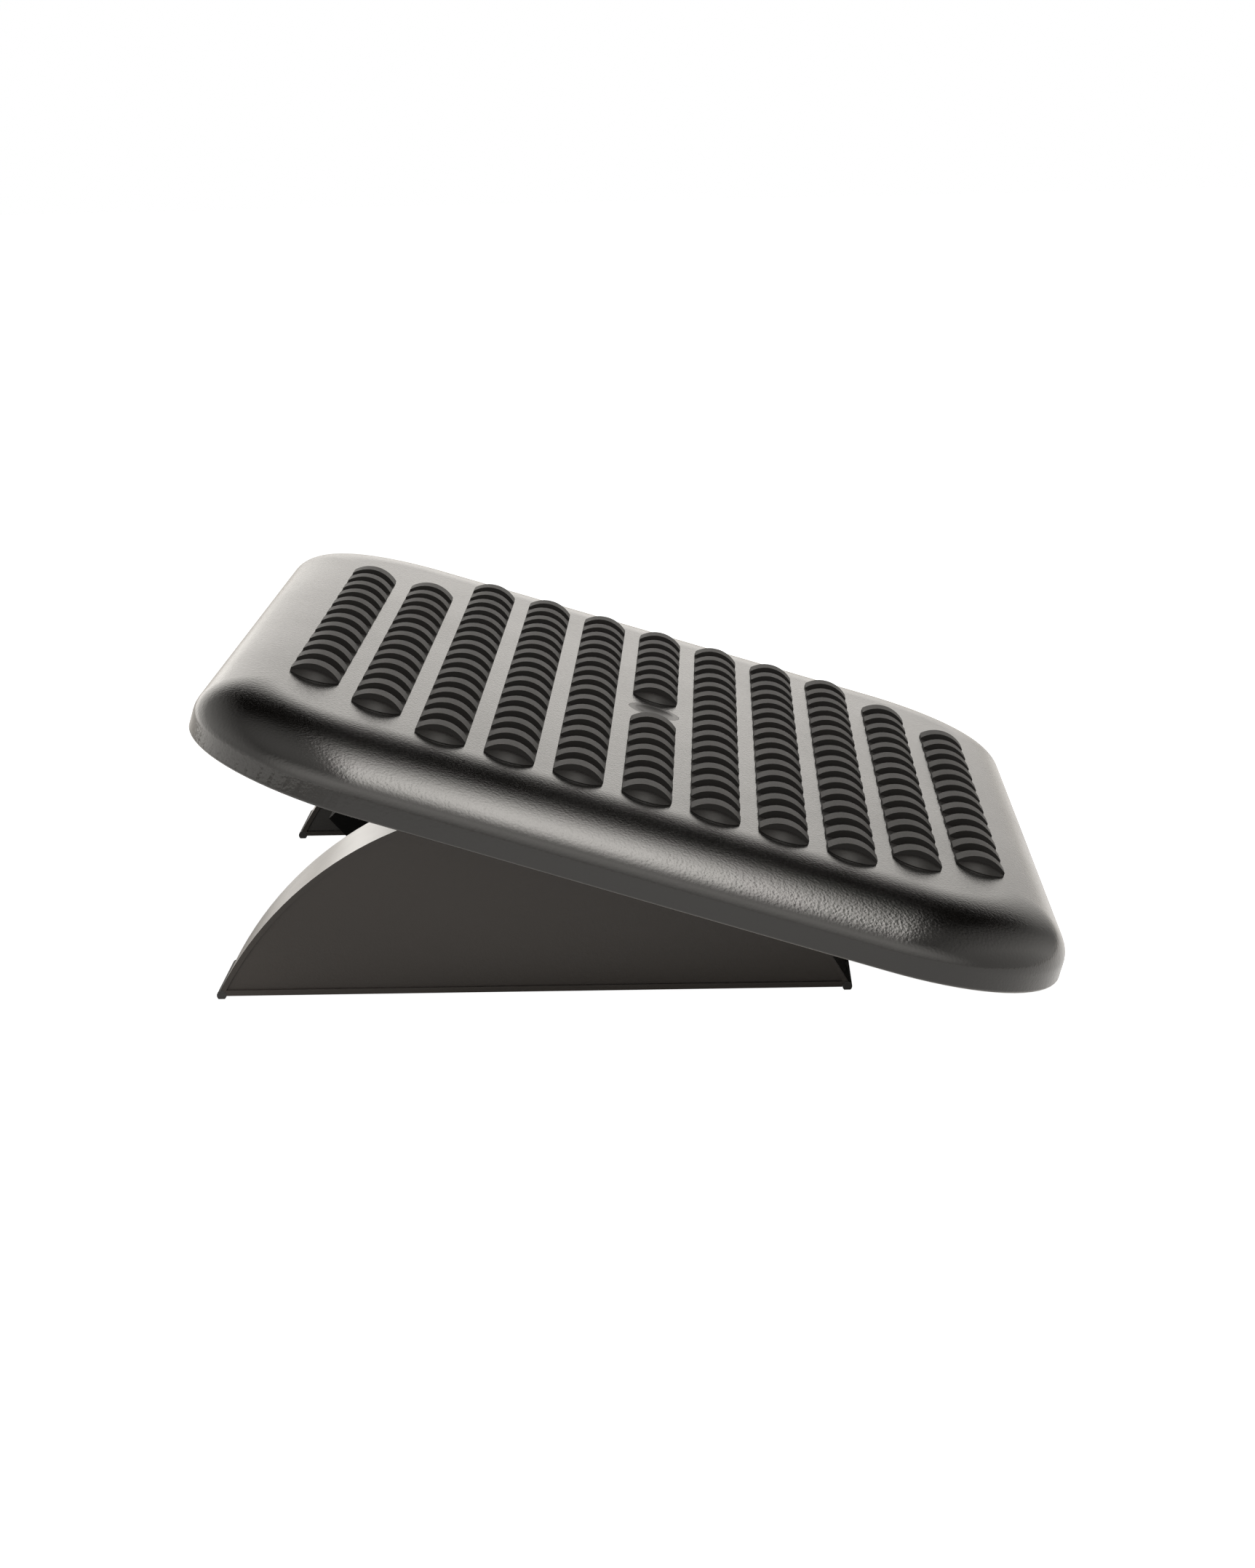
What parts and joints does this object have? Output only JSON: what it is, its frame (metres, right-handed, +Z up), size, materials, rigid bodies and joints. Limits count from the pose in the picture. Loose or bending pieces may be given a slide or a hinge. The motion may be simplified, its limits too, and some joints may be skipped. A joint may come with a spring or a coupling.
{
  "type": "tilting footrest",
  "caption": "Footrest with a ribbed rounded deck that slides on curved side supports to tilt either way and stays where it is put.",
  "frame": {"origin": "on the floor, under the middle of the whole footrest as it stands with its deck tilted", "axes": "+Z up, X along the width with +X to the right of the person using it, -Y towards the person"},
  "size_m": [0.45, 0.3332, 0.1262],
  "materials": {
    "deck_plastic": "fine textured charcoal",
    "bar_rubber": "soft matt charcoal",
    "support_plastic": "textured sides, smooth arcs",
    "cover_plastic": "matt black",
    "rail_plastic": "smooth black",
    "slide_plastic": "smooth low friction",
    "tube_steel": "black powder coat",
    "zinc_steel": "zinc plated",
    "foot_rubber": "matt black"
  },
  "bodies": {
    "base": {"side_support_left": "support_plastic", "side_support_right": "support_plastic", "inner_cover_left": "cover_plastic", "inner_cover_right": "cover_plastic", "cover_screws": "zinc_steel", "cross_tube_front": "tube_steel", "cross_tube_rear": "tube_steel", "guide_rail": "rail_plastic", "base_screws": "zinc_steel", "foot_strips": "foot_rubber"},
    "platform": {"deck": "deck_plastic", "massage_bar_01": "bar_rubber", "massage_bar_02": "bar_rubber", "massage_bar_03": "bar_rubber", "massage_bar_04": "bar_rubber", "massage_bar_05": "bar_rubber", "massage_bar_06_left": "bar_rubber", "massage_bar_06_right": "bar_rubber", "massage_bar_07": "bar_rubber", "massage_bar_08": "bar_rubber", "massage_bar_09": "bar_rubber", "massage_bar_10": "bar_rubber", "massage_bar_11": "bar_rubber", "slide_shoe_front_left": "slide_plastic", "slide_shoe_front_right": "slide_plastic", "slide_shoe_rear_left": "slide_plastic", "slide_shoe_rear_right": "slide_plastic", "shoe_screws": "zinc_steel", "centre_saddle": "slide_plastic", "clamp_block": "slide_plastic", "clamp_bolt": "zinc_steel", "spring_washer": "zinc_steel", "clamp_nut": "zinc_steel", "centre_cap": "deck_plastic"}
  },
  "joints": [
    {"name": "deck_tilt", "type": "hinge", "parent": "base", "child": "platform", "pos_m": [0, 0.0375, -0.0628], "axis": [1, 0, 0], "range_deg": [-36, 1]}
  ]
}
